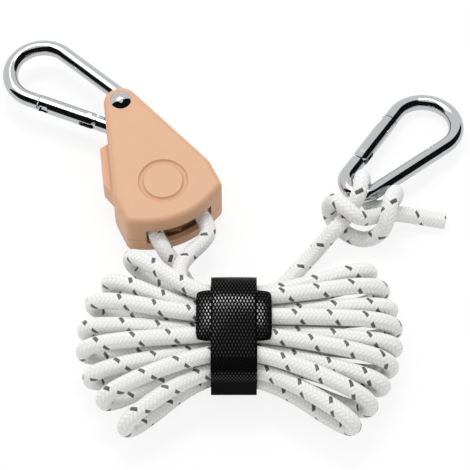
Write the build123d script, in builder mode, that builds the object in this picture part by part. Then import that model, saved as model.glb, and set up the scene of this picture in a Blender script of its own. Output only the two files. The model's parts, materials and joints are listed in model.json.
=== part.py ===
from build123d import *

import math
import os

# Rope ratchet hanger, lying on a table on its flat rear face. Millimetres.
# The origin is on the rear face under the wheel's axis, +Y points to the hanger rivet, +Z to the front.

os.makedirs("parts", exist_ok=True)

# Stock and clearances
rope_diameter = 6.0
wire_diameter = 6.0
running_gap = 0.3
pin_gap = 0.1
screw_gap = 0.05

# Housing shells
housing_thickness = 22.0
parting_height = 9.0
wall = 2.2
edge_round = 2.4
rivet_offset = 40.0
lobe_radius = 6.6
shoulder_half_width = 19.7
shoulder_radius = 9.0
corner_radius = 3.2
corner_drop = 8.9
crown_drop = 17.0
ring_outer_radius = 9.4
ring_inner_radius = 7.2
ring_depth = 0.8
seam_chamfer = 0.3
hook_slot_reach = 7.7
hook_slot_gap = 1.0
rope_slot_half_width = 13.3
rope_slot_height = 9.0
rope_exit_inset = 1.5

# Ratchet wheel
rope_turn_radius = 9.5
wheel_width = 12.0
wheel_teeth = 12
tooth_tip_radius = 14.2
tooth_depth = 1.3
tooth_undercut = 0.8
tooth_face_angle = 153.5
axle_radius = 3.0
axle_boss_radius = 5.2

# Release lever, whose lower arm is the pawl
lever_thickness = 10.0
lever_pivot = (-6.0, 19.2)
lever_hub_radius = 3.4
lever_pin_radius = 1.5
lever_tab_top = 27.0
lever_tab_shoulder = 12.0
lever_tab_foot = 6.4
lever_tab_proud = 3.2
lever_foot_gap = 1.8
lever_top_gap = 2.0
lever_arm_thickness = 1.4
pin_boss_radius = 2.4
pawl_arm_gap = 0.4
pawl_nose_lag = 1.3
pawl_nose_angle = 9.0

# Pawl torsion spring
spring_wire = 0.7
spring_turns = 2.25

# Hanger rivet and sleeve
rivet_shank_radius = 2.3
rivet_head_radius = 4.0
rivet_head_height = 1.9
rivet_foot_radius = 3.6
rivet_foot_height = 1.4
rivet_foot_sink = 0.4
rivet_boss_radius = 5.0

# Housing screws
screw_places = [(-15.3, -8.8), (15.3, -8.8), (11.4, 15.8)]
screw_shank_radius = 1.2
screw_head_radius = 1.9
screw_head_height = 1.6
screw_head_sink = 0.4
screw_length = 13.0
screw_boss_radius = 2.5
screw_recess = (2.4, 0.6, 0.8)

# Snap hooks: a pear of round wire with a gate between its two ends
hook_small_radius = 6.5
hook_large_radius = 12.6
hook_centre_distance = 37.5
gate_radius = 3.2
gate_pin_place = 11.0
gate_pin_radius = 1.0
gate_end_place = 31.8
gate_nose_gap = 0.5
tongue_thickness = 2.4
tongue_half_width = 1.9
tongue_gap = 0.2
nose_tongue_place = 28.2
nose_pin_place = 29.4
nose_pin_radius = 1.1
nose_pin_length = 4.4
nose_slot_place = 27.4
nose_shoulder = 0.8
plunger_radius = 1.6
plunger_length = 4.0
plunger_gap = 0.15
gate_bore_length = 11.0
gate_spring_wire = 0.5
gate_spring_turns = 5
top_hook_swing = 33.3

# Rope lay: the hank's length lies along the table, turned from the housing
lay_turn = -25.0
lay_origin = (19.78, -21.09)
rope_exit_run = 4.0

# Hank
hank_loops = 9
hank_middle_x = 1.5
hank_reach = 56.0
left_fan_middle_y = -51.4
left_fan_half_width = 33.2
left_reach_loss = 16.0
right_fan_middle_y = -54.0
right_fan_half_width = 30.5
right_reach_loss = 12.0
right_reach_lean = 4.0
waist_middle_y = -50.0
waist_pitch = 3.6
waist_half_length = 11.5
waist_outer_heights = (4.8, 22.6)
waist_inner_heights = (10.4, 17.1)
end_outer_heights = (3.1, 20.6)
end_inner_heights = (5.4, 18.7)
hank_free_end_x = -3.0

# Strap
strap_width = 16.4
strap_thickness = 1.4
strap_middle_x = -0.4
strap_front_y = -69.8
strap_foot_back_y = -24.0
strap_top_back_y = -32.2
strap_top = 29.0
strap_top_round = 10.0
strap_front_foot_round = 8.0
strap_back_foot_round = 4.0
strap_head_width = 27.0
strap_head_length = 20.0
strap_head_back_y = -38.0
strap_head_height = 25.8

# Rope hook on the knot
knot_wire = (48.6, 12.0, 9.5)
rope_hook_turn = 48.0
rope_hook_tilt = 7.7

# Worked out from the driving sizes
rope_radius = rope_diameter / 2
wire_radius = wire_diameter / 2
middle_height = housing_thickness / 2
cavity_floor = wall
cavity_ceiling = housing_thickness - wall
slot_floor = middle_height - (wire_diameter + hook_slot_gap) / 2
slot_ceiling = middle_height + (wire_diameter + hook_slot_gap) / 2
wheel_floor = middle_height - wheel_width / 2
wheel_ceiling = middle_height + wheel_width / 2
lever_floor = middle_height - lever_thickness / 2
lever_ceiling = middle_height + lever_thickness / 2
ring_middle_radius = (ring_outer_radius + ring_inner_radius) / 2
ring_half_width = (ring_outer_radius - ring_inner_radius) / 2
ring_round = (ring_half_width**2 + ring_depth**2) / (2 * ring_depth)
tooth_root_radius = tooth_tip_radius - tooth_depth
tooth_step = 360 / wheel_teeth
rope_exit_y = -(crown_drop - rope_exit_inset)
sleeve_radius = hook_small_radius - wire_radius - running_gap
hook_taper = math.asin((hook_large_radius - hook_small_radius) / hook_centre_distance)
hook_leg_length = hook_centre_distance * math.cos(hook_taper)
hinge_wire_end = gate_pin_place - gate_radius - running_gap
nose_wire_end = gate_end_place + gate_nose_gap
plunger_start = gate_pin_place + tongue_half_width + plunger_gap


def polar(radius, degrees):
    """A point in the wheel's plane."""
    angle = math.radians(degrees)
    return (radius * math.cos(angle), radius * math.sin(angle))


def save(piece, name, place=None):
    """Label one finished piece and write it, set in its place where it was drawn flat."""
    placed = place.from_local_coords(piece) if place else piece
    placed.label = name
    export_step(placed, f"parts/{name}.step")


def post(centre, radius, floor, ceiling, mode=Mode.ADD):
    """A round post or hole from one height to another."""
    with Locations((centre[0], centre[1], (floor + ceiling) / 2)):
        Cylinder(radius, ceiling - floor, mode=mode)


# Teardrop outline shared by both shells: lobe, shoulders, lower corners and crowned foot
corner_x = shoulder_half_width - corner_radius
corner_foot = -(corner_drop + corner_radius)
with BuildSketch() as outline:
    with BuildLine():
        CenterArc((0, rivet_offset), lobe_radius, 0, 360)
        for side in (-1, 1):
            CenterArc((side * (shoulder_half_width - shoulder_radius), 0), shoulder_radius, 0, 360)
            CenterArc((side * corner_x, -corner_drop), corner_radius, 0, 360)
        ThreePointArc((-corner_x, corner_foot), (0, -crown_drop), (corner_x, corner_foot))
    make_hull()

with BuildSketch() as cavity:
    add(outline.sketch)
    offset(amount=-wall, mode=Mode.REPLACE)


# The gap between the cheeks that the hook swings in
slot_reach = 2 * (rivet_offset + lobe_radius)
with BuildSketch(Plane.XY.offset(slot_floor)) as hook_slot:
    with Locations((0, rivet_offset - hook_slot_reach)):
        Rectangle(slot_reach, slot_reach, align=(Align.CENTER, Align.MIN))

# The left flank is the line that touches the lobe and the shoulder
shoulder_x = shoulder_half_width - shoulder_radius
flank_lean = math.acos((lobe_radius - shoulder_radius) / math.hypot(shoulder_x, rivet_offset))
flank_angle = math.atan2(-rivet_offset, -shoulder_x) - flank_lean


def flank_point(y, proud):
    """A point on the left flank, or standing proud of it."""
    reach = lobe_radius + proud + math.sin(flank_angle) * (rivet_offset - y)
    return (reach / math.cos(flank_angle), y)


# The opening in the left flank that the thumb lever stands in
window_foot = lever_tab_foot - lever_foot_gap
window_top = lever_tab_top + lever_top_gap
with BuildSketch(Plane.XY.offset(lever_floor - running_gap)) as lever_window:
    with BuildLine():
        Polyline(
            flank_point(window_foot, 2 * wall),
            flank_point(window_foot, -2 * wall),
            flank_point(window_top, -2 * wall),
            flank_point(window_top, 2 * wall),
            close=True,
        )
    make_face()


def open_shell():
    """Cut the hook slot, the lever window and the rope slot through one shell's wall."""
    extrude(hook_slot.sketch, amount=slot_ceiling - slot_floor, mode=Mode.SUBTRACT)
    extrude(lever_window.sketch, amount=lever_thickness + 2 * running_gap, mode=Mode.SUBTRACT)
    with Locations((0, -crown_drop, middle_height)):
        Box(2 * rope_slot_half_width, crown_drop, rope_slot_height, mode=Mode.SUBTRACT)


rivet_place = (0, rivet_offset)
axle_floor = cavity_floor - wall / 2
axle_ceiling = cavity_ceiling + wall / 2

# Front shell
with BuildPart() as housing_front:
    with BuildSketch(Plane.XY.offset(parting_height)):
        add(outline.sketch)
    extrude(amount=housing_thickness - parting_height)
    fillet(housing_front.faces().sort_by(Axis.Z)[-1].edges(), edge_round)
    chamfer(housing_front.faces().sort_by(Axis.Z)[0].edges(), seam_chamfer)
    with BuildSketch(Plane.XY.offset(parting_height)):
        add(cavity.sketch)
    extrude(amount=cavity_ceiling - parting_height, mode=Mode.SUBTRACT)
    post((0, 0), axle_boss_radius, wheel_ceiling + running_gap, cavity_ceiling)
    post(rivet_place, rivet_boss_radius, slot_ceiling, cavity_ceiling)
    post(lever_pivot, pin_boss_radius, lever_ceiling + running_gap, cavity_ceiling)
    for place in screw_places:
        post(place, screw_boss_radius, parting_height, cavity_ceiling)
    open_shell()
    with BuildSketch(Plane.XZ):
        with Locations((ring_middle_radius, housing_thickness - ring_depth + ring_round)):
            Circle(ring_round)
    revolve(axis=Axis.Z, mode=Mode.SUBTRACT)
    post((0, 0), axle_radius, parting_height, axle_ceiling, Mode.SUBTRACT)
    post(lever_pivot, lever_pin_radius, parting_height, axle_ceiling, Mode.SUBTRACT)
    post(rivet_place, rivet_shank_radius, parting_height, housing_thickness, Mode.SUBTRACT)
    for place in screw_places:
        hole_top = screw_head_sink + screw_length + running_gap
        post(place, screw_shank_radius + screw_gap, parting_height, hole_top, Mode.SUBTRACT)
save(housing_front.part, "housing_front")

# Rear shell
with BuildPart() as housing_rear:
    with BuildSketch():
        add(outline.sketch)
    extrude(amount=parting_height)
    fillet(housing_rear.faces().sort_by(Axis.Z)[0].edges(), edge_round)
    chamfer(housing_rear.faces().sort_by(Axis.Z)[-1].edges(), seam_chamfer)
    with BuildSketch(Plane.XY.offset(cavity_floor)):
        add(cavity.sketch)
    extrude(amount=parting_height - cavity_floor, mode=Mode.SUBTRACT)
    post((0, 0), axle_boss_radius, cavity_floor, wheel_floor - running_gap)
    post(rivet_place, rivet_boss_radius, cavity_floor, slot_floor)
    post(lever_pivot, pin_boss_radius, cavity_floor, lever_floor - running_gap)
    for place in screw_places:
        post(place, screw_boss_radius, cavity_floor, parting_height)
    open_shell()
    post((0, 0), axle_radius, axle_floor, parting_height, Mode.SUBTRACT)
    post(lever_pivot, lever_pin_radius, axle_floor, parting_height, Mode.SUBTRACT)
    post(rivet_place, rivet_shank_radius, 0, parting_height, Mode.SUBTRACT)
    post(rivet_place, rivet_foot_radius + pin_gap, 0, rivet_foot_sink + rivet_foot_height, Mode.SUBTRACT)
    for place in screw_places:
        post(place, screw_shank_radius + pin_gap, 0, parting_height, Mode.SUBTRACT)
        post(place, screw_head_radius + pin_gap, 0, screw_head_sink + screw_head_height, Mode.SUBTRACT)
save(housing_rear.part, "housing_rear")

# Rivet: domed head in front, flat foot sunk in the rear face
dome_radius = (rivet_head_radius**2 + rivet_head_height**2) / (2 * rivet_head_height)
with BuildPart() as hanger_rivet:
    post(rivet_place, rivet_foot_radius, rivet_foot_sink, rivet_foot_sink + rivet_foot_height)
    post(rivet_place, rivet_shank_radius, rivet_foot_sink, housing_thickness)
    with BuildSketch(Plane.XZ.offset(-rivet_offset)):
        with BuildLine():
            crown = housing_thickness + rivet_head_height
            RadiusArc((rivet_head_radius, housing_thickness), (0, crown), -dome_radius)
            Polyline((0, crown), (0, housing_thickness), (rivet_head_radius, housing_thickness))
        make_face()
    revolve(axis=Axis((0, rivet_offset, 0), (0, 0, 1)))
save(hanger_rivet.part, "hanger_rivet")

with BuildPart() as rivet_sleeve:
    post(rivet_place, sleeve_radius, slot_floor, slot_ceiling)
    post(rivet_place, rivet_shank_radius, slot_floor, slot_ceiling, Mode.SUBTRACT)
save(rivet_sleeve.part, "rivet_sleeve")

# Screws from the rear, each with a cross recess
with BuildPart() as housing_screws:
    for place in screw_places:
        head_top = screw_head_sink + screw_head_height
        post(place, screw_head_radius, screw_head_sink, head_top)
        post(place, screw_shank_radius, screw_head_sink, screw_head_sink + screw_length)
        recess_length, recess_width, recess_depth = screw_recess
        with Locations((*place, screw_head_sink)):
            Box(recess_length, recess_width, 2 * recess_depth, mode=Mode.SUBTRACT)
            Box(recess_width, recess_length, 2 * recess_depth, mode=Mode.SUBTRACT)
save(housing_screws.part, "housing_screws")

with BuildPart() as sheave_axle:
    post((0, 0), axle_radius, axle_floor, axle_ceiling)
save(sheave_axle.part, "sheave_axle")

# Ratchet wheel: saw teeth on both rims and a round groove for the rope
teeth = []
for tooth in range(wheel_teeth):
    face = tooth_face_angle + tooth * tooth_step
    teeth.append(polar(tooth_tip_radius, face))
    teeth.append(polar(tooth_root_radius, face - tooth_undercut))
groove_radius = rope_radius + running_gap
with BuildPart() as rope_sheave:
    with BuildSketch(Plane.XY.offset(wheel_floor)):
        with BuildLine():
            Polyline(*teeth, close=True)
        make_face()
    extrude(amount=wheel_width)
    with BuildSketch(Plane.XZ):
        with Locations((rope_turn_radius, middle_height)):
            Circle(groove_radius)
            Rectangle(tooth_tip_radius, 2 * groove_radius, align=(Align.MIN, Align.CENTER))
    revolve(axis=Axis.Z, mode=Mode.SUBTRACT)
    post((0, 0), axle_radius + pin_gap, wheel_floor, wheel_ceiling, Mode.SUBTRACT)
save(rope_sheave.part, "rope_sheave")

# Lever: thumb tab above the pivot, pawl below it, its nose in a tooth gap
nose_face = tooth_face_angle + pawl_nose_lag
nose_end = nose_face + pawl_nose_angle
nose_floor = tooth_root_radius + running_gap
arm_inner = tooth_tip_radius + pawl_arm_gap
pivot_x, pivot_y = lever_pivot
lever_profile = [
    flank_point(lever_tab_top + running_gap, -2 * wall),
    flank_point(lever_tab_top + running_gap, 0),
    flank_point(lever_tab_top - running_gap, lever_tab_proud),
    flank_point(lever_tab_shoulder, lever_tab_proud),
    flank_point(lever_tab_foot, 0),
    flank_point(lever_tab_foot, -wall / 2),
    polar(arm_inner + lever_arm_thickness, nose_end),
    polar(arm_inner, nose_end),
    polar(nose_floor + running_gap, (nose_face + nose_end) / 2),
    polar(nose_floor, nose_face - tooth_undercut),
    polar(arm_inner, nose_face),
    polar(arm_inner, nose_face - pawl_nose_angle),
    (pivot_x, pivot_y - lever_hub_radius),
    (pivot_x, pivot_y + lever_hub_radius),
]
with BuildPart() as release_lever:
    with BuildSketch(Plane.XY.offset(lever_floor)):
        with BuildLine():
            Polyline(*lever_profile, close=True)
        make_face()
        with Locations(lever_pivot):
            Circle(lever_hub_radius)
    extrude(amount=lever_thickness)
    post(lever_pivot, lever_pin_radius + pin_gap, lever_floor, lever_ceiling, Mode.SUBTRACT)
save(release_lever.part, "release_lever")

with BuildPart() as pawl_pin:
    post(lever_pivot, lever_pin_radius, axle_floor, axle_ceiling)
save(pawl_pin.part, "pawl_pin")

# Torsion spring round the front pin boss, one leg to the lever and one to the flank
spring_radius = pin_boss_radius + running_gap + spring_wire / 2
spring_floor = lever_ceiling + running_gap + spring_wire / 2
spring_rise = cavity_ceiling - running_gap - spring_wire / 2 - spring_floor
spring_pitch = spring_rise / spring_turns
with BuildPart() as pawl_spring:
    with BuildLine() as spring_coil:
        Helix(spring_pitch, spring_rise, spring_radius, center=(*lever_pivot, spring_floor))
    with BuildSketch(Plane(spring_coil.line @ 0, z_dir=spring_coil.line % 0)):
        RegularPolygon(spring_wire / 2, 6)
    sweep(path=spring_coil.line, is_frenet=True)
save(pawl_spring.part, "pawl_spring")


def leg_point(place, side=1):
    """A point on the gate leg (side 1) or the spine (side -1), by its distance from the small end."""
    x = place * math.cos(hook_taper) - hook_small_radius * math.sin(hook_taper)
    y = place * math.sin(hook_taper) + hook_small_radius * math.cos(hook_taper)
    return (x, side * y)


leg_direction = (math.cos(hook_taper), math.sin(hook_taper), 0)
leg_plane = Plane((*leg_point(0), 0), x_dir=leg_direction, z_dir=(0, 0, 1))


def leg_slice(half_thickness):
    """The leg's plane, lowered by half a thickness, to draw a flat on."""
    return leg_plane.offset(-half_thickness)


def across_leg(place):
    """The plane square to the gate leg at one place on it."""
    return Plane((*leg_point(place), 0), z_dir=leg_direction)


def flat(start, end, low, high):
    """A flat drawn on the leg's plane, from start to end along it and from low to high across it."""
    with Locations(((start + end) / 2, (low + high) / 2)):
        Rectangle(end - start, high - low)


def snap_hook(name, place):
    """One spring snap hook, drawn flat with its small end at the origin, then set in its place."""
    with BuildPart() as body:
        with BuildLine() as wire_line:
            Line(leg_point(hinge_wire_end), leg_point(0))
            ThreePointArc(leg_point(0), (-hook_small_radius, 0), leg_point(0, -1))
            Line(leg_point(0, -1), leg_point(hook_leg_length, -1))
            far_end = (hook_centre_distance + hook_large_radius, 0)
            ThreePointArc(leg_point(hook_leg_length, -1), far_end, leg_point(hook_leg_length))
            Line(leg_point(hook_leg_length), leg_point(nose_wire_end))
        with BuildSketch(Plane(wire_line.line @ 0, z_dir=wire_line.line % 0)):
            Circle(wire_radius)
        sweep(path=wire_line.line)
        with BuildSketch(leg_slice(tongue_thickness / 2)):
            root = hinge_wire_end - wire_radius / 2
            flat(root, gate_pin_place + tongue_half_width, -tongue_half_width, tongue_half_width)
            flat(nose_tongue_place, nose_wire_end + wire_radius / 2, -tongue_half_width, tongue_half_width)
        extrude(amount=tongue_thickness)
        with BuildSketch(leg_slice(nose_pin_length / 2)):
            with Locations((nose_pin_place, 0)):
                Circle(nose_pin_radius)
        extrude(amount=nose_pin_length)
        with BuildSketch(leg_slice(wire_radius)):
            with Locations((gate_pin_place, 0)):
                Circle(gate_pin_radius + pin_gap)
        extrude(amount=wire_diameter, mode=Mode.SUBTRACT)
    save(body.part, f"{name}_body", place)

    with BuildPart() as gate:
        with BuildSketch(across_leg(gate_pin_place - gate_radius)):
            Circle(gate_radius)
        extrude(amount=gate_end_place - gate_pin_place + gate_radius)
        with BuildSketch(leg_slice(gate_radius)):
            flat(gate_pin_place, gate_end_place, -gate_radius, gate_radius)
            with Locations((gate_pin_place, 0)):
                Circle(gate_radius)
        extrude(amount=2 * gate_radius, mode=Mode.INTERSECT)
        tongue_swing = math.hypot(tongue_half_width, tongue_half_width) + tongue_gap
        with BuildSketch(leg_slice(tongue_thickness / 2 + tongue_gap)):
            flat(0, gate_pin_place + tongue_swing, -gate_radius, gate_radius)
        extrude(amount=tongue_thickness + 2 * tongue_gap, mode=Mode.SUBTRACT)
        with BuildSketch(leg_slice(tongue_thickness / 2 + tongue_gap)):
            flat(nose_slot_place, gate_end_place, -tongue_half_width - tongue_gap, gate_radius)
        extrude(amount=tongue_thickness + 2 * tongue_gap, mode=Mode.SUBTRACT)
        with BuildSketch(leg_slice(nose_pin_length / 2 + tongue_gap)):
            shoulder = gate_end_place - nose_shoulder
            flat(nose_slot_place, shoulder, -nose_pin_radius - tongue_gap, gate_radius)
        extrude(amount=nose_pin_length + 2 * tongue_gap, mode=Mode.SUBTRACT)
        with BuildSketch(across_leg(gate_pin_place)):
            Circle(plunger_radius + pin_gap)
        extrude(amount=plunger_start - gate_pin_place + gate_bore_length, mode=Mode.SUBTRACT)
        with BuildSketch(leg_slice(gate_radius)):
            with Locations((gate_pin_place, 0)):
                Circle(gate_pin_radius)
        extrude(amount=2 * gate_radius, mode=Mode.SUBTRACT)
    save(gate.part, f"{name}_gate", place)

    with BuildPart() as gate_pin:
        with BuildSketch(leg_slice(gate_radius)):
            with Locations((gate_pin_place, 0)):
                Circle(gate_pin_radius)
        extrude(amount=2 * gate_radius)
    save(gate_pin.part, f"{name}_gate_pin", place)

    with BuildPart() as plunger:
        with BuildSketch(across_leg(plunger_start)):
            Circle(plunger_radius)
        extrude(amount=plunger_length)
    save(plunger.part, f"{name}_plunger", place)

    spring_start = plunger_start + plunger_length + gate_spring_wire / 2 + pin_gap
    spring_length = plunger_start + gate_bore_length - gate_spring_wire / 2 - pin_gap - spring_start
    with BuildPart() as gate_spring:
        with BuildLine() as coil:
            Helix(
                spring_length / gate_spring_turns,
                spring_length,
                plunger_radius - gate_spring_wire / 2,
                center=(*leg_point(spring_start), 0),
                direction=leg_direction,
            )
        with BuildSketch(Plane(coil.line @ 0, z_dir=coil.line % 0)):
            RegularPolygon(gate_spring_wire / 2, 4)
        sweep(path=coil.line, is_frenet=True)
    save(gate_spring.part, f"{name}_spring", place)


# Top hook on the rivet, its small end round the sleeve
top_hook_place = Plane(
    (0, rivet_offset, middle_height),
    x_dir=(*polar(1, 90 + top_hook_swing), 0),
    z_dir=(0, 0, 1),
)
snap_hook("top_hook", top_hook_place)

# The table frame that the rope is laid out in
lay = Plane((*lay_origin, 0), x_dir=(*polar(1, lay_turn), 0), z_dir=(0, 0, 1))

# Rope hook on the knot: the small end is raised on the rope and the large end lies on the table
tilt = math.radians(rope_hook_tilt)
turn = math.radians(rope_hook_turn)
hook_y_axis = Vector(0, math.cos(tilt), -math.sin(tilt))
hook_axis = Vector(math.cos(turn), 0, 0) + hook_y_axis * math.sin(turn)
hook_normal = Vector(0, math.sin(tilt), math.cos(tilt))
hook_centre = Vector(*knot_wire) + hook_y_axis * hook_small_radius
rope_hook_place = Plane(
    lay.from_local_coords(hook_centre),
    x_dir=lay.from_local_coords(hook_axis) - lay.origin,
    z_dir=lay.from_local_coords(hook_normal) - lay.origin,
)
snap_hook("rope_hook", rope_hook_place)

# Rope over the wheel, between the two holes in the foot
with BuildPart() as rope_in_housing:
    with BuildLine() as over_wheel:
        Line((-rope_turn_radius, rope_exit_y, middle_height), (-rope_turn_radius, 0, middle_height))
        ThreePointArc(
            (-rope_turn_radius, 0, middle_height),
            (0, rope_turn_radius, middle_height),
            (rope_turn_radius, 0, middle_height),
        )
        Line((rope_turn_radius, 0, middle_height), (rope_turn_radius, rope_exit_y, middle_height))
    with BuildSketch(Plane(over_wheel.line @ 0, z_dir=over_wheel.line % 0)):
        Circle(rope_radius)
    sweep(path=over_wheel.line)
save(rope_in_housing.part, "rope_in_housing")

left_hole = lay.to_local_coords(Vector(-rope_turn_radius, rope_exit_y, middle_height))
right_hole = lay.to_local_coords(Vector(rope_turn_radius, rope_exit_y, middle_height))
rope_out = lay.to_local_coords(Vector(0, -1, 0) + lay.origin)


def between(first, second):
    """The point midway between two route points."""
    return (Vector(first) + Vector(second)) / 2


def corner_radii(points):
    """The largest tangent arc that each corner's two runs leave room for."""
    radii = []
    for before, corner, after in zip(points, points[1:], points[2:]):
        run_in = corner - before
        run_out = after - corner
        half_turn = math.radians(run_in.get_angle(run_out)) / 2
        radii.append(0.45 * min(run_in.length, run_out.length) / math.tan(half_turn))
    return radii


def least_gap(line, spacing=1.5):
    """The least gap between stretches of one rope that lie apart along it, measured on points."""
    count = int(line.length / spacing)
    points = [tuple(line.position_at(step / count)) for step in range(count + 1)]
    skip = int(math.pi * rope_diameter / spacing)
    least = math.inf
    for index, point in enumerate(points):
        for other in points[index + skip:]:
            least = min(least, math.dist(point, other))
    return least - rope_diameter


def rope(name, route):
    """One stretch of rope along a route given on the table, with its measures printed."""
    points = [lay.from_local_coords(Vector(point)) for point in route]
    radii = corner_radii(points)
    with BuildPart() as stretch:
        with BuildLine() as line:
            FilletPolyline(*points, radius=radii)
        path = line.wire()
        with BuildSketch(Plane(path @ 0, z_dir=path % 0)):
            Circle(rope_radius)
        sweep(path=path)
    save(stretch.part, name)
    share = stretch.part.volume / (math.pi * rope_radius**2 * path.length)
    print(name, "length", round(path.length, 1), "volume share", round(share, 4))
    print(name, "radii", [round(radius, 1) for radius in radii])
    print(name, "least gap to itself", round(least_gap(path), 2))
    return path


# Tail: out of the right hole, over the hook line and up on to the back of the hank
tail_route = [
    right_hole,
    right_hole + rope_out * rope_exit_run,
    (-10.2, -6.6, 11.0),
    (-12.6, -10.2, 10.9),
    (-17.0, -14.6, 11.0),
    (-20.6, -21.4, 13.4),
    (-20.2, -28.6, 15.2),
    (-15.6, -33.6, 16.4),
]
tail_split = between(tail_route[4], tail_route[5])
tail_line = rope("rope_tail_lead", [*tail_route[:5], tail_split])


def left_end(place):
    """The left end of a loop, by its place in the fan from the back (-1) to the front (1)."""
    reach = hank_reach - left_reach_loss * place**2
    return (hank_middle_x - reach, left_fan_middle_y - place * left_fan_half_width)


def right_end(place):
    """The right end of a loop: this fan is drawn in more toward the front."""
    reach = hank_reach - right_reach_loss * place**2 - right_reach_lean * place
    return (hank_middle_x + reach, right_fan_middle_y - place * right_fan_half_width)


def loop_points(loop):
    """One loop of the hank: along the top to the right end, down and back along the table."""
    middle = (hank_loops - 1) / 2
    waist_y = waist_middle_y - (loop - middle) * waist_pitch
    inner = loop % 2 == 0
    waist_low, waist_high = waist_inner_heights if inner else waist_outer_heights
    end_low, end_high = end_inner_heights if inner else end_outer_heights
    right = right_end((loop - middle) / middle)
    left_in = left_end((loop - 0.5 - middle) / (middle - 0.5))
    left_out = left_end((loop + 0.5 - middle) / (middle - 0.5))
    return [
        (*left_in, end_high),
        (-waist_half_length, waist_y, waist_high),
        (waist_half_length, waist_y, waist_high),
        (*right, end_high),
        (*right, end_low),
        (waist_half_length, waist_y, waist_low),
        (-waist_half_length, waist_y, waist_low),
        (*left_out, end_low),
    ]


# Hank: one unbroken rope, loop by loop from the back to the front, its cut end tucked under the strap
hank_route = [tail_split, *tail_route[5:], *loop_points(0)[2:]]
for loop in range(1, hank_loops):
    hank_route += loop_points(loop)
hank_route[-2:] = [(hank_free_end_x, *hank_route[-2][1:])]
hank_line = rope("rope_hank", hank_route)

# Hook line: out of the left hole, under the tail, along the back of the hank and up to the knot
hook_line_route = [
    left_hole,
    left_hole + rope_out * rope_exit_run,
    (-24.9, -13.9, 9.0),
    (-22.0, -16.6, 5.6),
    (-19.0, -20.8, 3.4),
    (-14.6, -29.0, 4.6),
    (0.3, -32.0, 4.75),
    (13.6, -29.0, 4.6),
    (19.4, -22.6, 3.4),
    (24.0, -16.4, 3.1),
    (29.2, -10.6, 3.4),
    (34.6, -5.6, 7.4),
]

# Knot: over the hook's wire and back under it, round its own tail, round the lead, and out to the cut end
knot_route = [
    (34.6, -5.6, 7.4),
    (38.4, -2.2, 10.4),
    (41.8, 2.2, 9.6),
    (44.4, 6.0, 12.4),
    (47.0, 9.4, 16.3),
    (47.8, 14.9, 16.3),
    (48.4, 18.6, 12.4),
    (48.9, 18.6, 6.8),
    (49.8, 14.7, 3.0),
    (52.8, 9.8, 3.0),
    (58.0, 10.0, 4.0),
    (61.0, 11.8, 8.2),
    (60.8, 11.0, 14.2),
    (58.2, 5.8, 17.8),
    (57.2, -0.6, 15.2),
    (55.6, -3.8, 9.2),
    (50.4, -4.2, 3.3),
    (44.8, -3.0, 3.05),
    (40.0, 0.6, 3.05),
    (36.4, 4.8, 4.6),
    (35.2, 7.0, 10.6),
    (37.4, 6.0, 15.8),
    (40.6, 2.4, 17.6),
    (45.0, -1.2, 15.8),
    (49.4, 0.7, 11.2),
    (53.6, 3.4, 9.0),
    (58.4, 4.2, 8.8),
    (64.0, 5.2, 6.6),
    (71.5, 5.6, 3.5),
    (79.8, 4.2, 3.1),
]
knot_split = between(hook_line_route[-2], hook_line_route[-1])
hook_line = rope("rope_hook_line", [*hook_line_route[:-1], knot_split])
knot_line = rope("rope_knot", [knot_split, *knot_route])
print("rope length", round(sum(line.length for line in (tail_line, hank_line, hook_line, knot_line)), 1))

# Strap: a flat woven band round the hank's waist, over the wide head that its tail is threaded through
strap_plane = Plane(
    lay.from_local_coords(Vector(strap_middle_x - strap_width / 2, 0, 0)),
    x_dir=lay.y_dir,
    z_dir=lay.x_dir,
)
with BuildPart() as strap_band:
    with BuildSketch(strap_plane) as loop_outside:
        with BuildLine():
            Polyline(
                (strap_front_y, 0),
                (strap_foot_back_y, 0),
                (strap_top_back_y, strap_top),
                (strap_front_y, strap_top),
                close=True,
            )
        make_face()
        fillet(loop_outside.vertices().group_by(Axis.Y)[-1], strap_top_round)
        fillet(loop_outside.vertices().group_by(Axis.Y)[0].sort_by(Axis.X)[0], strap_front_foot_round)
        fillet(loop_outside.vertices().group_by(Axis.Y)[0].sort_by(Axis.X)[-1], strap_back_foot_round)
        offset(amount=-strap_thickness, mode=Mode.SUBTRACT)
    extrude(amount=strap_width)
save(strap_band.part, "strap_band")

with BuildPart() as strap_head:
    head_middle = (strap_middle_x, strap_head_back_y - strap_head_length / 2, strap_head_height)
    with BuildSketch(Plane(lay.from_local_coords(Vector(*head_middle)), x_dir=lay.x_dir, z_dir=(0, 0, 1))):
        RectangleRounded(strap_head_width, strap_head_length, strap_thickness)
    extrude(amount=strap_thickness)
save(strap_head.part, "strap_head")
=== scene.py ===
import json
import math

import bmesh
import bpy
from bpy.props import FloatProperty, FloatVectorProperty, IntProperty, PointerProperty
from mathutils import Matrix, Vector


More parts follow.
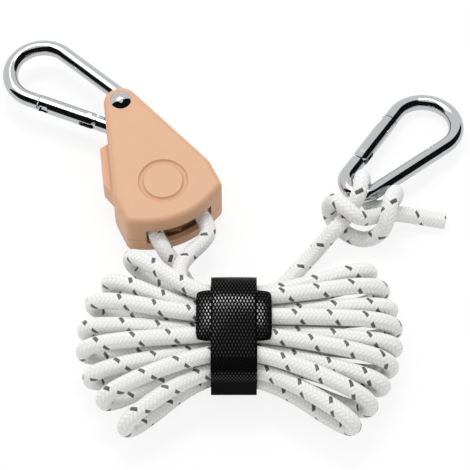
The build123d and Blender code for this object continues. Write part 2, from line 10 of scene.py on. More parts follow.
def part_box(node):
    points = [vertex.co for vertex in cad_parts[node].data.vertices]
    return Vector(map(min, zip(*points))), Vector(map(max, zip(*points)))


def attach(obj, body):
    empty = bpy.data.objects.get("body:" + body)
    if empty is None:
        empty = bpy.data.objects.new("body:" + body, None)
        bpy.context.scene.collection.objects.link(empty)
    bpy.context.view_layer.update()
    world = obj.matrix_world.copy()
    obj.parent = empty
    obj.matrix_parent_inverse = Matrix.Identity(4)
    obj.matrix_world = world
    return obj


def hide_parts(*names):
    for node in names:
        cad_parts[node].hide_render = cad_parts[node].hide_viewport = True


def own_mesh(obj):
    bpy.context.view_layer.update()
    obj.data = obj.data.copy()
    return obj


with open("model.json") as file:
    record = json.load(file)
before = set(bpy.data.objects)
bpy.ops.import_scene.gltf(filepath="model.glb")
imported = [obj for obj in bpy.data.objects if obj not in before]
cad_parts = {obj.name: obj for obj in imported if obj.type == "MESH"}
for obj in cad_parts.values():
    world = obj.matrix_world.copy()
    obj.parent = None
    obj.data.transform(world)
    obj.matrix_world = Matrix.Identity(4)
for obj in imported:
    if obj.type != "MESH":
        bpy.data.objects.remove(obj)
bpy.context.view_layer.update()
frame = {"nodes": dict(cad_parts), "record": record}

bl_info = {
    "name": "Rope Ratchet Hanger",
    "version": (1, 0, 0),
    "blender": (4, 5, 0),
    "location": "View3D > Sidebar > Hanger",
    "description": "Ropes, strap, finishes and stage of a rope ratchet hanger with two snap hooks",
    "category": "Object",
}

MM = 0.001

# The table's own axes: X along the hank, Y away from the viewer, from the middle of the picture
LAY_TURN = math.radians(-25)
LAY_ORIGIN = Vector((19.78, -21.09, 0)) * MM
LAY = Matrix.Translation(LAY_ORIGIN) @ Matrix.Rotation(LAY_TURN, 4, "Z")

# The rope over the wheel gives the rope's thickness, the wheel's turn and the two holes
WHEEL_ROPE_LOW, WHEEL_ROPE_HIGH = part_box("rope_in_housing")
ROPE_DIAMETER = WHEEL_ROPE_HIGH.z - WHEEL_ROPE_LOW.z
TURN_RADIUS = (WHEEL_ROPE_HIGH.x - WHEEL_ROPE_LOW.x - ROPE_DIAMETER) / 2
ROPE_HEIGHT = (WHEEL_ROPE_LOW.z + WHEEL_ROPE_HIGH.z) / 2
LEFT_HOLE = Vector((-TURN_RADIUS, WHEEL_ROPE_LOW.y, ROPE_HEIGHT))
RIGHT_HOLE = Vector((TURN_RADIUS, WHEEL_ROPE_LOW.y, ROPE_HEIGHT))
ROPE_EXIT_RUN = Vector((0, -4, 0)) * MM

# Hank: the same loops as the solid, in millimetres on the table
HANK_LOOPS = 9
HANK_MIDDLE_X = 1.5
HANK_REACH = 56.0
HANK_FREE_END_X = -3.0
LEFT_FAN_MIDDLE_Y = -51.4
LEFT_FAN_HALF_WIDTH = 33.2
LEFT_REACH_LOSS = 16.0
RIGHT_FAN_MIDDLE_Y = -54.0
RIGHT_FAN_HALF_WIDTH = 30.5
RIGHT_REACH_LOSS = 12.0
RIGHT_REACH_LEAN = 4.0
WAIST_MIDDLE_Y = -50.0
WAIST_PITCH = 3.6
WAIST_HALF_LENGTH = 11.5
WAIST_OUTER_HEIGHTS = (4.8, 22.6)
WAIST_INNER_HEIGHTS = (10.4, 17.1)
END_OUTER_HEIGHTS = (3.1, 20.6)
END_INNER_HEIGHTS = (5.4, 18.7)

# Out of the right hole, over the hook line and up on to the back of the hank
TAIL_ROUTE = [
    (-10.2, -6.6, 11.0),
    (-12.6, -10.2, 10.9),
    (-17.0, -14.6, 11.0),
    (-20.6, -21.4, 13.4),
    (-20.2, -28.6, 15.2),
    (-15.6, -33.6, 16.4),
]

# Out of the left hole, under the tail, along the back of the hank and up to the knot
HOOK_LINE_ROUTE = [
    (-24.9, -13.9, 9.0),
    (-22.0, -16.6, 5.6),
    (-19.0, -20.8, 3.4),
    (-14.6, -29.0, 4.6),
    (0.3, -32.0, 4.75),
    (13.6, -29.0, 4.6),
    (19.4, -22.6, 3.4),
    (24.0, -16.4, 3.1),
    (29.2, -10.6, 3.4),
]

# Over the hook's wire and back under it, round its own tail, round the lead, and out to the cut end
KNOT_ROUTE = [
    (34.6, -5.6, 7.4),
    (38.4, -2.2, 10.4),
    (41.8, 2.2, 9.6),
    (44.4, 6.0, 12.4),
    (47.0, 9.4, 16.3),
    (47.8, 14.9, 16.3),
    (48.4, 18.6, 12.4),
    (48.9, 18.6, 6.8),
    (49.8, 14.7, 3.0),
    (52.8, 9.8, 3.0),
    (58.0, 10.0, 4.0),
    (61.0, 11.8, 8.2),
    (60.8, 11.0, 14.2),
    (58.2, 5.8, 17.8),
    (57.2, -0.6, 15.2),
    (55.6, -3.8, 9.2),
    (50.4, -4.2, 3.3),
    (44.8, -3.0, 3.05),
    (40.0, 0.6, 3.05),
    (36.4, 4.8, 4.6),
    (35.2, 7.0, 10.6),
    (37.4, 6.0, 15.8),
    (40.6, 2.4, 17.6),
    (45.0, -1.2, 15.8),
    (49.4, 0.7, 11.2),
    (53.6, 3.4, 9.0),
    (58.4, 4.2, 8.8),
    (64.0, 5.2, 6.6),
    (71.5, 5.6, 3.5),
    (79.8, 4.2, 3.1),
]

# Strap round the hank's waist, in millimetres on the table
STRAP_MIDDLE_X = -0.4
STRAP_FRONT_Y = -69.8
STRAP_FOOT_BACK_Y = -24.0
STRAP_TOP_BACK_Y = -32.2
STRAP_TOP = 29.0
HEAD_BACK_Y = -38.0
HEAD_TOP = 27.2

# The band's outline from under the hank, round the front, over the crown and down the back
BAND_OUTLINE = [
    (-47.0, 0.0),
    (STRAP_FRONT_Y, 0.0),
    (STRAP_FRONT_Y, 14.0),
    (STRAP_FRONT_Y, 26.4),
    (-52.0, STRAP_TOP),
    (STRAP_TOP_BACK_Y, STRAP_TOP),
    (-27.6, 12.0),
    (STRAP_FOOT_BACK_Y, 0.0),
    (-47.0, 0.0),
]


def linear(hex_colour):
    """An sRGB hex colour as the linear values that shaders take."""
    channels = [int(hex_colour[start:start + 2], 16) / 255 for start in (0, 2, 4)]
    return (*((c / 12.92 if c <= 0.04045 else ((c + 0.055) / 1.055) ** 2.4) for c in channels), 1.0)


class RopeSettings(bpy.types.PropertyGroup):
    """The braided rope."""

    sides: IntProperty(name="Sides", description="Faces round the rope", default=20, min=8)
    steps: IntProperty(name="Steps", description="Rings on each run of the route", default=22, min=4)
    strands: IntProperty(name="Strands", description="Yarns that wind each way round", default=8, min=4)
    pitch: FloatProperty(
        name="Pitch", description="One full turn of a yarn", default=12.6 * MM, unit="LENGTH")
    relief: FloatProperty(
        name="Relief", description="Height of a yarn's crown", default=0.3 * MM, unit="LENGTH")
    white: FloatVectorProperty(
        name="Yarn", description="Bleached polyester", size=4, subtype="COLOR", default=linear("f2f2f1"))
    # Valley: a darker white in the braid's hollows, painted shade.
    valley_shade: FloatVectorProperty(
        name="Valley shade", description="Between the yarns", size=4, subtype="COLOR", default=linear("dfdfde"))
    fleck: FloatVectorProperty(
        name="Fleck", description="Reflective tracer yarn", size=4, subtype="COLOR", default=linear("585859"))


class StrapSettings(bpy.types.PropertyGroup):
    """The hook-and-loop strap."""

    width: FloatProperty(name="Width", description="Of the band", default=16.4 * MM, unit="LENGTH")
    head_width: FloatProperty(
        name="Head width", description="Of the wide end", default=27 * MM, unit="LENGTH")
    head_length: FloatProperty(
        name="Head length", description="Of the wide end", default=20 * MM, unit="LENGTH")
    thickness: FloatProperty(name="Thickness", description="Of the tape", default=1.4 * MM, unit="LENGTH")
    stitch: FloatProperty(
        name="Stitch", description="Between hooks in a row", default=1.2 * MM, unit="LENGTH")
    row: FloatProperty(name="Row", description="Between rows of hooks", default=1.3 * MM, unit="LENGTH")
    shine_foot: FloatProperty(
        name="Shine foot", description="Height where hooks begin to shine", default=16 * MM, unit="LENGTH")
    shine_full: FloatProperty(
        name="Shine full", description="Height of their full shine", default=22 * MM, unit="LENGTH")
    black: FloatVectorProperty(
        name="Nylon", description="Dyed nylon", size=4, subtype="COLOR", default=linear("0a0a0b"))
    # Ground: a darker black between the hooks, painted shade in the weave's hollows.
    ground: FloatVectorProperty(
        name="Ground", description="Between the hooks", size=4, subtype="COLOR", default=linear("040404"))


class FinishSettings(bpy.types.PropertyGroup):
    """Plastic and metal."""

    plastic: FloatVectorProperty(
        name="Plastic", description="Tan moulded shells", size=4, subtype="COLOR", default=linear("d9aa87"))
    # Wheel: the shells' tan darkened, painted shade for its rim seen deep in the rope slot.
    wheel: FloatVectorProperty(
        name="Wheel", description="Moulded wheel", size=4, subtype="COLOR", default=linear("b98457"))
    chrome: FloatVectorProperty(
        name="Chrome", description="Plated wire", size=4, subtype="COLOR", default=linear("bebfc1"))
    steel: FloatVectorProperty(
        name="Steel", description="Pins and springs", size=4, subtype="COLOR", default=linear("b4b5b8"))
    grain: FloatProperty(name="Grain", description="Grain of the mould", default=0.45 * MM, unit="LENGTH")


class StageSettings(bpy.types.PropertyGroup):
    """Camera, floor and light."""

    elevation: FloatProperty(
        name="Elevation", description="Camera above the table", default=math.radians(60), subtype="ANGLE")
    distance: FloatProperty(name="Distance", description="Camera to table", default=0.7, unit="LENGTH")
    lens: FloatProperty(name="Lens", description="Focal length in millimetres", default=141.0)
    floor: FloatProperty(name="Floor", description="Side of the table", default=8.0, unit="LENGTH")
    floor_gap: FloatProperty(
        name="Floor gap", description="Table below the object", default=0.05 * MM, unit="LENGTH")
    glow: FloatProperty(name="Glow", description="Share of the table that is lit from within", default=0.84)
    paper: FloatVectorProperty(
        name="Paper", description="White table", size=4, subtype="COLOR", default=linear("fbfbfb"))
    key: FloatProperty(name="Key", description="Softbox behind the object", default=3.6, subtype="POWER")
    fill: FloatProperty(name="Fill", description="Brightness of the room", default=0.7)
    strip: FloatProperty(name="Strip", description="Strip light behind", default=4.2, subtype="POWER")
    strip_rise: FloatProperty(
        name="Strip rise", description="Its angle above the table", default=math.radians(64), subtype="ANGLE")
    strip_distance: FloatProperty(
        name="Strip distance", description="From the table", default=1.3, unit="LENGTH")
    wall: FloatProperty(name="Wall", description="Distance of the dark wall", default=1.6, unit="LENGTH")
    wall_foot: FloatProperty(
        name="Wall foot", description="Its lower edge", default=math.radians(3), subtype="ANGLE")
    wall_top: FloatProperty(
        name="Wall top", description="Its upper edge", default=math.radians(74), subtype="ANGLE")
    wall_left: FloatProperty(
        name="Wall left", description="Its left edge", default=math.radians(-90), subtype="ANGLE")
    wall_right: FloatProperty(
        name="Wall right", description="Its right edge", default=math.radians(130), subtype="ANGLE")


class HangerSettings(bpy.types.PropertyGroup):
    """Everything that a user would change."""

    rope: PointerProperty(type=RopeSettings)
    strap: PointerProperty(type=StrapSettings)
    finish: PointerProperty(type=FinishSettings)
    stage: PointerProperty(type=StageSettings)


def add(tree, kind, inputs=(), **settings):
    """Adds a node with its settings and inputs, which are values or outputs, and gives its first output."""
    node = tree.nodes.new(kind)
    for key, value in settings.items():
        setattr(node, key, value)
    for key, value in dict(inputs).items():
        if isinstance(value, bpy.types.NodeSocket):
            tree.links.new(value, node.inputs[key])
        else:
            node.inputs[key].default_value = value
    return node.outputs[0]


def blend(tree, share, low, high):
    """Mixes two colours by a share."""
    return add(tree, "ShaderNodeMix", {0: share, 6: low, 7: high}, data_type="RGBA").node.outputs[2]


def maths(tree, operation, *values):
    """One step of arithmetic on numbers or outputs."""
    return add(tree, "ShaderNodeMath", dict(enumerate(values)), operation=operation)


def ridges(tree, count):
    """Rounded ridges, one for each whole count: 0 in the valleys and 1 on the crowns."""
    wave = maths(tree, "MULTIPLY", count, math.pi)
    return maths(tree, "ABSOLUTE", maths(tree, "SINE", wave))


def new_material(name):
    """A new material, its node tree and its shader's inputs."""
    material = bpy.data.materials.new(name)
    material.use_nodes = True
    shader = material.node_tree.nodes["Principled BSDF"]
    return material, material.node_tree, shader.inputs


def braided_polyester(rope):
    """Bleached polyester yarn, braided over two and under two, with one dark reflective tracer yarn.

    It is matt and white with rows of fine V stitches, whose hollows are painted darker as shade, and the
    tracer shows as dark dashes on a slant.
    """
    material, tree, shader = new_material("Braided polyester rope")
    place = add(tree, "ShaderNodeSeparateXYZ", {0: add(tree, "ShaderNodeUVMap", uv_map="braid")}).node.outputs
    turns = maths(tree, "DIVIDE", place["X"], rope.pitch)
    crowns, yarns = {}, {}
    for way, slant in (("left", "ADD"), ("right", "SUBTRACT")):
        winding = maths(tree, slant, turns, place["Y"])
        count = maths(tree, "MULTIPLY", winding, rope.strands)
        yarns[way] = maths(tree, "FLOOR", count)
        crowns[way] = ridges(tree, count)
    crossing = maths(tree, "SUBTRACT", yarns["left"], yarns["right"])
    repeat = maths(tree, "FLOORED_MODULO", crossing, 4.0)
    over = maths(tree, "LESS_THAN", repeat, 1.5)
    crown = add(tree, "ShaderNodeMix", {0: over, 2: crowns["right"], 3: crowns["left"]})
    # Each yarn dips at the ends of its stitch: a dip in the bump, and painted shade in the colour.
    around = maths(tree, "MULTIPLY_ADD", place["Y"], rope.strands, 0.25)
    stitch = add(tree, "ShaderNodeMapRange", {0: ridges(tree, around), 2: 0.6, 3: 0.3, 4: 1.0})
    height = maths(tree, "MULTIPLY", crown, stitch)

    first_yarn = maths(tree, "FLOORED_MODULO", yarns["right"], rope.strands)
    tracer = maths(tree, "LESS_THAN", first_yarn, 0.5)
    on_top = maths(tree, "SUBTRACT", 1.0, over)
    fleck = maths(tree, "MULTIPLY", tracer, on_top)

    # Painted shade: the yarn's white turns to the darker valley colour where the height falls.
    yarn = blend(tree, height, rope.valley_shade, rope.white)
    tree.links.new(blend(tree, fleck, yarn, rope.fleck), shader["Base Color"])
    gloss = add(tree, "ShaderNodeMapRange", {0: fleck, 3: 0.85, 4: 0.4})
    tree.links.new(gloss, shader["Roughness"])
    bump = add(tree, "ShaderNodeBump", {"Strength": 0.3, "Distance": rope.relief, "Height": height})
    tree.links.new(bump, shader["Normal"])
    shader["Sheen Weight"].default_value = 0.15
    return material


def woven_nylon(strap):
    """Black nylon hook tape: a close lattice of shiny filament crowns on a matt ground, bare at its foot.

    The ground between the crowns is painted darker as their shade, and where the tape faces a lamp each crown
    sends back a small bright dot.
    """
    material, tree, shader = new_material("Woven black nylon")
    place = add(tree, "ShaderNodeSeparateXYZ", {0: add(tree, "ShaderNodeUVMap", uv_map="weave")}).node.outputs
    column = maths(tree, "DIVIDE", place["X"], strap.stitch)
    row = maths(tree, "DIVIDE", place["Y"], 2 * strap.row)
    crowns = [ridges(tree, maths(tree, slant, column, row)) for slant in ("ADD", "SUBTRACT")]
    height = maths(tree, "MULTIPLY", *crowns)
    # Painted shade: the black darkens to the ground colour between the hook crowns.
    tree.links.new(blend(tree, height, strap.ground, strap.black), shader["Base Color"])
    dot = add(tree, "ShaderNodeMapRange", {0: height, 1: 0.55, 2: 0.75})
    level = add(tree, "ShaderNodeSeparateXYZ", {0: add(tree, "ShaderNodeTexCoord").node.outputs["Object"]})
    patch = {0: level.node.outputs["Z"], 1: strap.shine_foot, 2: strap.shine_full}
    shine = maths(tree, "MULTIPLY", dot, add(tree, "ShaderNodeMapRange", patch))
    tree.links.new(shine, shader["Coat Weight"])
    shader["Coat IOR"].default_value = 1.4
    shader["Coat Roughness"].default_value = 0.14
    shader["Roughness"].default_value = 0.9
    shader["Specular IOR Level"].default_value = 0.08
    return material


def moulded_plastic(name, colour, grain):
    """Polypropylene from a spark-eroded mould: an even satin skin with a fine grain and faint flow clouds."""
    material, tree, shader = new_material(name)
    cloud_size = 14 * MM
    cloud_shade = 0.93
    place = add(tree, "ShaderNodeTexCoord").node.outputs["Object"]
    skin = add(tree, "ShaderNodeTexNoise", {"Vector": place, "Scale": 1 / grain, "Detail": 2.0})
    cloud = add(tree, "ShaderNodeTexNoise", {"Vector": place, "Scale": 1 / cloud_size, "Detail": 3.0})
    darker = (*(cloud_shade * channel for channel in colour[:3]), 1.0)
    tree.links.new(blend(tree, cloud, darker, colour), shader["Base Color"])
    tree.links.new(add(tree, "ShaderNodeMapRange", {0: skin, 3: 0.42, 4: 0.6}), shader["Roughness"])
    bump = add(tree, "ShaderNodeBump", {"Strength": 0.25, "Distance": 0.03 * MM, "Height": skin})
    tree.links.new(bump, shader["Normal"])
    shader["Subsurface Weight"].default_value = 0.3
    shader["Subsurface Radius"].default_value = (1.0, 0.45, 0.2)
    shader["Subsurface Scale"].default_value = 2 * MM
    return material


def plated_wire(name, colour, roughness):
    """Bright nickel and chrome plate on drawn steel: a mirror with slow ripples and a breath of haze."""
    material, tree, shader = new_material(name)
    ripple_size = 5 * MM
    haze_size = 0.8 * MM
    place = add(tree, "ShaderNodeTexCoord").node.outputs["Object"]
    ripple = add(tree, "ShaderNodeTexNoise", {"Vector": place, "Scale": 1 / ripple_size, "Detail": 1.0})
    haze = add(tree, "ShaderNodeTexNoise", {"Vector": place, "Scale": 1 / haze_size, "Detail": 3.0})
    shader["Base Color"].default_value = colour
    shader["Metallic"].default_value = 1.0
    dull = add(tree, "ShaderNodeMapRange", {0: haze, 3: roughness, 4: roughness * 2})
    tree.links.new(dull, shader["Roughness"])
    bump = add(tree, "ShaderNodeBump", {"Strength": 0.12, "Distance": 0.2 * MM, "Height": ripple})
    tree.links.new(bump, shader["Normal"])
    return material


def on_table(x, y, z):
    """A place given in millimetres on the table, in the frame."""
    return LAY @ (Vector((x, y, z)) * MM)


def left_end(place):
    """The left end of a loop, by its place in the fan from the back (-1) to the front (1)."""
    reach = HANK_REACH - LEFT_REACH_LOSS * place**2
    return (HANK_MIDDLE_X - reach, LEFT_FAN_MIDDLE_Y - place * LEFT_FAN_HALF_WIDTH)


def right_end(place):
    """The right end of a loop: this fan is drawn in more toward the front."""
    reach = HANK_REACH - RIGHT_REACH_LOSS * place**2 - RIGHT_REACH_LEAN * place
    return (HANK_MIDDLE_X + reach, RIGHT_FAN_MIDDLE_Y - place * RIGHT_FAN_HALF_WIDTH)


def loop_points(loop):
    """One loop of the hank: along the top to the right end, down and back along the table."""
    middle = (HANK_LOOPS - 1) / 2
    waist_y = WAIST_MIDDLE_Y - (loop - middle) * WAIST_PITCH
    inner = loop % 2 == 0
    waist_low, waist_high = WAIST_INNER_HEIGHTS if inner else WAIST_OUTER_HEIGHTS
    end_low, end_high = END_INNER_HEIGHTS if inner else END_OUTER_HEIGHTS
    right = right_end((loop - middle) / middle)
    left_in = left_end((loop - 0.5 - middle) / (middle - 0.5))
    left_out = left_end((loop + 0.5 - middle) / (middle - 0.5))
    return [
        (*left_in, end_high),
        (-WAIST_HALF_LENGTH, waist_y, waist_high),
        (WAIST_HALF_LENGTH, waist_y, waist_high),
        (*right, end_high),
        (*right, end_low),
        (WAIST_HALF_LENGTH, waist_y, waist_low),
        (-WAIST_HALF_LENGTH, waist_y, waist_low),
        (*left_out, end_low),
    ]


def hank_route():
    """The tail and the hank's loops, with the cut end tucked under the strap."""
    route = TAIL_ROUTE + loop_points(0)[2:]
    for loop in range(1, HANK_LOOPS):
        route += loop_points(loop)
    route.pop()
    _, y, z = route.pop()
    route.append((HANK_FREE_END_X, y, z))
    return [RIGHT_HOLE, RIGHT_HOLE + ROPE_EXIT_RUN] + [on_table(*point) for point in route]


def hook_rope_route():
    """The hook line and the knot."""
    route = [on_table(*point) for point in HOOK_LINE_ROUTE + KNOT_ROUTE]
    return [LEFT_HOLE, LEFT_HOLE + ROPE_EXIT_RUN] + route


def wheel_route():
    """From hole to hole over the wheel, whose turn is the circle inside an octagon's corners."""
    corner = TURN_RADIUS * math.tan(math.pi / 8)
    top = [(-TURN_RADIUS, corner), (-corner, TURN_RADIUS), (corner, TURN_RADIUS), (TURN_RADIUS, corner)]
    route = [(*point, ROPE_HEIGHT) for point in top]
    low_left = (-TURN_RADIUS, -corner, ROPE_HEIGHT)
    low_right = (TURN_RADIUS, -corner, ROPE_HEIGHT)
    return [Vector(point) for point in (LEFT_HOLE, low_left, *route, low_right, RIGHT_HOLE)]


def spline_line(route, steps):
    """The points of a smooth NURBS spline that has the route's points as its control points."""
    curve = bpy.data.curves.new("route", "CURVE")
    curve.dimensions = "3D"
    curve.resolution_u = steps
    spline = curve.splines.new("NURBS")
    spline.points.add(len(route) - 1)
    for control, point in zip(spline.points, route):
        control.co = (*point, 1)
    spline.order_u = 3
    spline.use_endpoint_u = True
    holder = bpy.data.objects.new("route", curve)
    mesh = bpy.data.meshes.new_from_object(holder)
    line = [vertex.co.copy() for vertex in mesh.vertices]
    bpy.data.objects.remove(holder)
    bpy.data.curves.remove(curve)
    bpy.data.meshes.remove(mesh)
    return line


def rings_along(line):
    """For each point of a line: the length so far and the two axes across it, carried on without twist."""
    rings = []
    length = 0.0
    across = None
    for index, point in enumerate(line):
        ahead = line[min(index + 1, len(line) - 1)] - line[max(index - 1, 0)]
        ahead.normalize()
        if across is None:
            across = ahead.orthogonal()
        across = (across - ahead * across.dot(ahead)).normalized()
        if index:
            length += (point - line[index - 1]).length
        rings.append((length, across.copy(), ahead.cross(across)))
    return rings


def new_piece(name, bm, material):
    """A finished mesh as an object at the origin, shaded smooth."""
    mesh = bpy.data.meshes.new(name)
    bm.to_mesh(mesh)
    bm.free()
    mesh.polygons.foreach_set("use_smooth", [True] * len(mesh.polygons))
    mesh.materials.append(material)
    piece = bpy.data.objects.new(name, mesh)
    bpy.context.scene.collection.objects.link(piece)
    return piece


def tube_piece(name, line, diameter, sides, material):
    """A tube along a line of points: a grid rolled up round the line."""
    rings = rings_along(line)
    bm = bmesh.new()
    braid = bm.loops.layers.uv.new("braid")
    bmesh.ops.create_grid(bm, x_segments=len(line) - 1, y_segments=sides, size=0.5)
    for face in bm.faces:
        for loop in face.loops:
            ring = round((loop.vert.co.x + 0.5) * (len(line) - 1))
            loop[braid].uv = (rings[ring][0], loop.vert.co.y + 0.5)
    for vertex in bm.verts:
        ring = round((vertex.co.x + 0.5) * (len(line) - 1))
        angle = 2 * math.pi * (vertex.co.y + 0.5)
        _, across, up = rings[ring]
        vertex.co = line[ring] + (across * math.cos(angle) + up * math.sin(angle)) * diameter / 2
    bmesh.ops.remove_doubles(bm, verts=bm.verts, dist=0.001 * MM)
    bmesh.ops.holes_fill(bm, edges=[edge for edge in bm.edges if edge.is_boundary])
    bmesh.ops.recalc_face_normals(bm, faces=bm.faces)
    return new_piece(name, bm, bpy.data.materials[material])


def settings():
    """The scene's hanger settings."""
    return bpy.context.scene.hanger


class HANGER_OT_finishes(bpy.types.Operator):
    """Make the materials and give the moulded and metal parts theirs"""

    bl_idname = "hanger.finishes"
    bl_label = "Finishes"

    def execute(self, context):
        finish = settings().finish
        braided_polyester(settings().rope)
        woven_nylon(settings().strap)
        plastic = moulded_plastic("Moulded tan polypropylene", finish.plastic, finish.grain)
        # The wheel's darker tan is painted shade for the rope slot.
        wheel = moulded_plastic("Moulded brown nylon", finish.wheel, finish.grain)
        chrome = plated_wire("Chrome plated wire", finish.chrome, 0.05)
        rivet = plated_wire("Polished rivet head", finish.chrome, 0.04)
        steel = plated_wire("Zinc plated steel", finish.steel, 0.22)
        for name, node in frame["nodes"].items():
            material = steel
            if name in ("housing_front", "housing_rear", "release_lever"):
                material = plastic
            elif name == "rope_sheave":
                material = wheel
            elif name.endswith(("hook_body", "hook_gate")):
                material = chrome
            elif name == "hanger_rivet":
                material = rivet
            node.data.materials.clear()
            node.data.materials.append(material)
        return {"FINISHED"}


class HANGER_OT_ropes(bpy.types.Operator):
    """Lay the rope: over the wheel, to the knotted hook, and into the hank"""

    bl_idname = "hanger.ropes"
    bl_label = "Ropes"

    def rope(self, name, route):
        """A rope on a smooth spline along its route, and its centreline."""
        rope = settings().rope
        line = spline_line(route, rope.steps)
        return tube_piece(name, line, ROPE_DIAMETER, rope.sides, "Braided polyester rope"), line

    def execute(self, context):
        wheel_rope, _ = self.rope("wheel_rope", wheel_route())
        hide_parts("rope_in_housing")

        hook_rope, line = self.rope("hook_rope", hook_rope_route())
        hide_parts("rope_hook_line", "rope_knot")

        hank_rope, line = self.rope("hank_rope", hank_route())
        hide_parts("rope_tail_lead", "rope_hank")

        for piece in (wheel_rope, hook_rope, hank_rope):
            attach(piece, "housing")
        return {"FINISHED"}


class HANGER_OT_springs(bpy.types.Operator):
    """Coil the springs in the hooks' gates, which on the real hook shorten as the gates open; here each moves
    whole with its gate
    """

    bl_idname = "hanger.springs"
    bl_label = "Springs"

    turns: IntProperty(name="Turns", description="Of each spring", default=5)
    wire: FloatProperty(name="Wire", description="Its thickness", default=0.5 * MM, unit="LENGTH")
    radius: FloatProperty(name="Radius", description="Of the coil", default=1.35 * MM, unit="LENGTH")
    length: FloatProperty(name="Length", description="From end to end", default=6.8 * MM, unit="LENGTH")
    plunger: FloatProperty(name="Plunger", description="Its length", default=4.0 * MM, unit="LENGTH")
    gap: FloatProperty(name="Gap", description="To the plunger", default=0.1 * MM, unit="LENGTH")
    steps: IntProperty(name="Steps", description="Rings on each corner of the coil", default=3)
    sides: IntProperty(name="Sides", description="Faces round the wire", default=8)

    def coil(self, foot, ahead):
        """A helix by eight corners to a turn, outside the circle that its spline follows."""
        across = ahead.orthogonal().normalized()
        up = ahead.cross(across)
        corner_radius = self.radius / math.cos(math.pi / 8)
        rise = (self.length - self.wire) / (8 * self.turns)
        route = []
        for corner in range(8 * self.turns + 1):
            angle = corner * math.pi / 4
            spoke = across * math.cos(angle) + up * math.sin(angle)
            route.append(foot + ahead * (self.wire / 2 + corner * rise) + spoke * corner_radius)
        return spline_line(route, self.steps)

    def execute(self, context):
        joints = {joint["name"]: joint for joint in frame["record"]["behaviour"]["joints"]}
        for hook in ("top", "rope"):
            slide = joints[f"{hook}_plunger_slide"]
            ahead = Vector(slide["axis"]).normalized()
            low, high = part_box(f"{hook}_hook_plunger")
            foot = (low + high) / 2 + ahead * (self.plunger / 2 + self.gap)
            coil = self.coil(foot, ahead)
            spring = tube_piece(f"{hook}_gate_spring", coil, self.wire, self.sides, "Zinc plated steel")
            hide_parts(f"{hook}_hook_spring")
            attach(spring, f"{hook}_gate")
            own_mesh(spring)
        return {"FINISHED"}


class HANGER_OT_strap(bpy.types.Operator):
    """Wrap the strap round the hank's waist, over its wide head"""

    bl_idname = "hanger.strap"
    bl_label = "Strap"

    steps: IntProperty(name="Steps", description="Faces on each run of the band's outline", default=32)
    columns: IntProperty(name="Columns", description="Faces across the webbing", default=20)
    crown: FloatProperty(
        name="Crown", description="Rise of the band's middle", default=0.45 * MM, unit="LENGTH")
    droop: FloatProperty(
        name="Droop", description="Fall of the head's edges", default=1.3 * MM, unit="LENGTH")
    corner: FloatProperty(
        name="Corner", description="Pull of the head's corners", default=0.6 * MM, unit="LENGTH")

    def band(self, strap):
        """The closed band: a grid bent along its outline and crowned across, then given its thickness."""
        corners = [Vector((STRAP_MIDDLE_X, *place)) * MM for place in BAND_OUTLINE]
        outline = spline_line(corners, self.steps)
        rings = rings_along(outline)
        rows = len(outline) - 1
        bm = bmesh.new()
        weave = bm.loops.layers.uv.new("weave")
        bmesh.ops.create_grid(bm, x_segments=rows, y_segments=self.columns, size=0.5)
        for face in bm.faces:
            for loop in face.loops:
                row = round((loop.vert.co.x + 0.5) * rows)
                loop[weave].uv = (loop.vert.co.y * strap.width, rings[row][0])
        for vertex in bm.verts:
            place = outline[round((vertex.co.x + 0.5) * rows)]
            fall = self.crown * (2 * vertex.co.y) ** 2 * (place.z / (STRAP_TOP * MM)) ** 4
            vertex.co = LAY @ (place + Vector((vertex.co.y * strap.width, 0, -fall)))
        bmesh.ops.remove_doubles(bm, verts=bm.verts, dist=0.001 * MM)
        bmesh.ops.recalc_face_normals(bm, faces=bm.faces)
        bmesh.ops.solidify(bm, geom=bm.faces, thickness=strap.thickness)
        return bm, rings[-1][0]

    def head(self, strap):
        """The wide end: a grid with soft corners that droops at its edges, then given its thickness."""
        bm = bmesh.new()
        weave = bm.loops.layers.uv.new("weave")
        bmesh.ops.create_grid(bm, x_segments=self.columns, y_segments=self.columns, size=0.5)
        middle = Vector((STRAP_MIDDLE_X * MM, HEAD_BACK_Y * MM - strap.head_length / 2, HEAD_TOP * MM))
        for face in bm.faces:
            for loop in face.loops:
                loop[weave].uv = (loop.vert.co.x * strap.head_width, loop.vert.co.y * strap.head_length)
        for vertex in bm.verts:
            x, y = 2 * vertex.co.x, 2 * vertex.co.y
            pull = self.corner * x**6 * y**6
            fall = self.droop * (x**4 + y**4) / 2
            place = Vector((
                x * strap.head_width / 2 - math.copysign(pull, x),
                y * strap.head_length / 2 - math.copysign(pull, y),
                -fall,
            ))
            vertex.co = LAY @ (middle + place)
        bmesh.ops.recalc_face_normals(bm, faces=bm.faces)
        bmesh.ops.solidify(bm, geom=bm.faces, thickness=strap.thickness)
        return bm

    def execute(self, context):
        strap = settings().strap
        nylon = bpy.data.materials["Woven black nylon"]
        bm, length = self.band(strap)
        band = new_piece("woven_band", bm, nylon)
        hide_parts("strap_band")
        head = new_piece("hook_head", self.head(strap), nylon)
        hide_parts("strap_head")
        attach(band, "housing")
        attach(head, "housing")
        return {"FINISHED"}


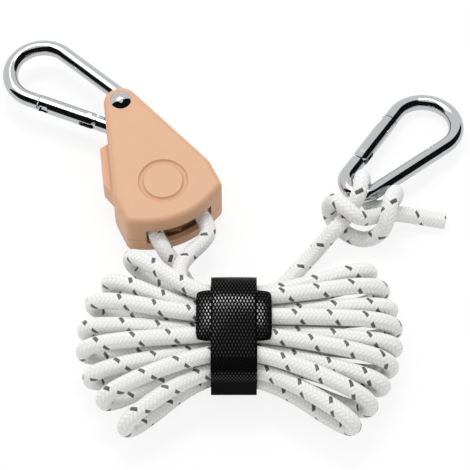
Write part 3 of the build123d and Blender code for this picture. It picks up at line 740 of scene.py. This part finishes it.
class HANGER_OT_stage(bpy.types.Operator):
    """Set the white table, the soft light and the camera at the photograph's angle"""

    bl_idname = "hanger.stage"
    bl_label = "Stage"

    def seen_white(self, tree):
        """1 for rays that show the background: from the camera, or by way of metal or glass."""
        path = add(tree, "ShaderNodeLightPath").node.outputs
        seen = maths(tree, "MAXIMUM", path["Is Camera Ray"], path["Is Glossy Ray"])
        return maths(tree, "MAXIMUM", seen, path["Is Transmission Ray"])

    def world(self, stage):
        """A white room that shows at full strength and lights the object a little less."""
        world = bpy.data.worlds.new("White room")
        world.use_nodes = True
        bpy.context.scene.world = world
        tree = world.node_tree
        strength = add(tree, "ShaderNodeMapRange", {0: self.seen_white(tree), 3: stage.fill, 4: 1.0})
        tree.links.new(strength, tree.nodes["Background"].inputs["Strength"])
        tree.nodes["Background"].inputs["Color"].default_value = (1, 1, 1, 1)

    def table(self, stage):
        """Matt white paper, mostly lit up from within, so that only a faint shadow shows on it."""
        bm = bmesh.new()
        bmesh.ops.create_grid(bm, x_segments=1, y_segments=1, size=stage.floor / 2)
        bmesh.ops.translate(bm, verts=bm.verts, vec=(0, 0, -stage.floor_gap))
        material = bpy.data.materials.new("White paper")
        material.use_nodes = True
        tree = material.node_tree
        paper = add(tree, "ShaderNodeBsdfDiffuse", {"Color": stage.paper})
        glow = add(tree, "ShaderNodeEmission", {"Strength": 1.0})
        share = maths(tree, "MULTIPLY", self.seen_white(tree), stage.glow)
        surface = add(tree, "ShaderNodeMixShader", {0: share, 1: paper, 2: glow})
        tree.links.new(surface, tree.nodes["Material Output"].inputs["Surface"])
        new_piece("table", bm, material)

    def dark_wall(self, stage):
        """A dark wall from the left round to the right, which only the metal sees as black streaks."""
        bm = bmesh.new()
        rise = Matrix.Rotation(-stage.wall_foot, 4, "X")
        turn = LAY.to_3x3() @ Matrix.Rotation(stage.wall_left, 3, "Z")
        bm.verts.new(rise @ Vector((0, -stage.wall, 0)))
        height = stage.wall_top - stage.wall_foot
        bmesh.ops.spin(bm, geom=bm.verts[:], axis=(-1, 0, 0), angle=height, steps=16)
        profile = [*bm.verts, *bm.edges]
        sweep = stage.wall_right - stage.wall_left
        bmesh.ops.spin(bm, geom=profile, axis=(0, 0, 1), angle=sweep, steps=48)
        bmesh.ops.transform(bm, matrix=Matrix.Translation(LAY_ORIGIN) @ turn.to_4x4(), verts=bm.verts)
        material, tree, shader = new_material("Black felt")
        shader["Base Color"].default_value = linear("0a0a0a")
        shader["Roughness"].default_value = 1.0
        wall = new_piece("dark_wall", bm, material)
        wall.visible_camera = False
        wall.visible_diffuse = False
        wall.visible_shadow = False

    def lamp(self, name, energy, size, place):
        """A flat lamp that faces the middle of the picture."""
        data = bpy.data.lights.new(name, "AREA")
        data.energy = energy
        data.shape = "RECTANGLE"
        data.size, data.size_y = size
        lamp = bpy.data.objects.new(name, data)
        lamp.location = place
        lamp.rotation_euler = (LAY_ORIGIN - place).to_track_quat("-Z", "Y").to_euler()
        bpy.context.scene.collection.objects.link(lamp)

    def execute(self, context):
        stage = settings().stage
        context.scene.view_settings.view_transform = "Standard"
        away = LAY.to_3x3() @ Vector((0, 1, 0))
        towards_camera = Vector((0, 0, math.sin(stage.elevation))) - away * math.cos(stage.elevation)
        camera = bpy.data.cameras.new("Camera")
        camera.lens = stage.lens
        holder = bpy.data.objects.new("Camera", camera)
        holder.location = LAY_ORIGIN + towards_camera * stage.distance
        holder.rotation_euler = (-towards_camera).to_track_quat("-Z", "Y").to_euler()
        context.scene.collection.objects.link(holder)
        context.scene.camera = holder
        self.world(stage)
        self.table(stage)
        self.dark_wall(stage)
        softbox = away * 0.6 + Vector((-0.4, 0, 1.1))
        self.lamp("Softbox", stage.key, (0.8, 0.5), LAY_ORIGIN + softbox)
        towards_strip = away * math.cos(stage.strip_rise) + Vector((0, 0, math.sin(stage.strip_rise)))
        self.lamp("Strip light", stage.strip, (0.5, 0.12), LAY_ORIGIN + towards_strip * stage.strip_distance)
        return {"FINISHED"}


class HANGER_PT_sidebar(bpy.types.Panel):
    """The hanger's steps and settings"""

    bl_idname = "HANGER_PT_sidebar"
    bl_label = "Rope Ratchet Hanger"
    bl_space_type = "VIEW_3D"
    bl_region_type = "UI"
    bl_category = "Hanger"

    def draw(self, context):
        for step in STEPS:
            self.layout.operator(step.bl_idname)
        for group in ("rope", "strap", "finish", "stage"):
            box = self.layout.box()
            values = getattr(settings(), group)
            for name in values.bl_rna.properties.keys():
                if name not in ("rna_type", "name"):
                    box.prop(values, name)


STEPS = (HANGER_OT_finishes, HANGER_OT_ropes, HANGER_OT_springs, HANGER_OT_strap, HANGER_OT_stage)
GROUPS = (RopeSettings, StrapSettings, FinishSettings, StageSettings, HangerSettings)


def register():
    for cls in (*GROUPS, *STEPS, HANGER_PT_sidebar):
        bpy.utils.register_class(cls)
    bpy.types.Scene.hanger = PointerProperty(type=HangerSettings)


def unregister():
    del bpy.types.Scene.hanger
    for cls in reversed((*GROUPS, *STEPS, HANGER_PT_sidebar)):
        bpy.utils.unregister_class(cls)


def main():
    register()
    bpy.ops.hanger.finishes()
    bpy.ops.hanger.ropes()
    bpy.ops.hanger.springs()
    bpy.ops.hanger.strap()
    bpy.ops.hanger.stage()


if __name__ == "__main__":
    main()
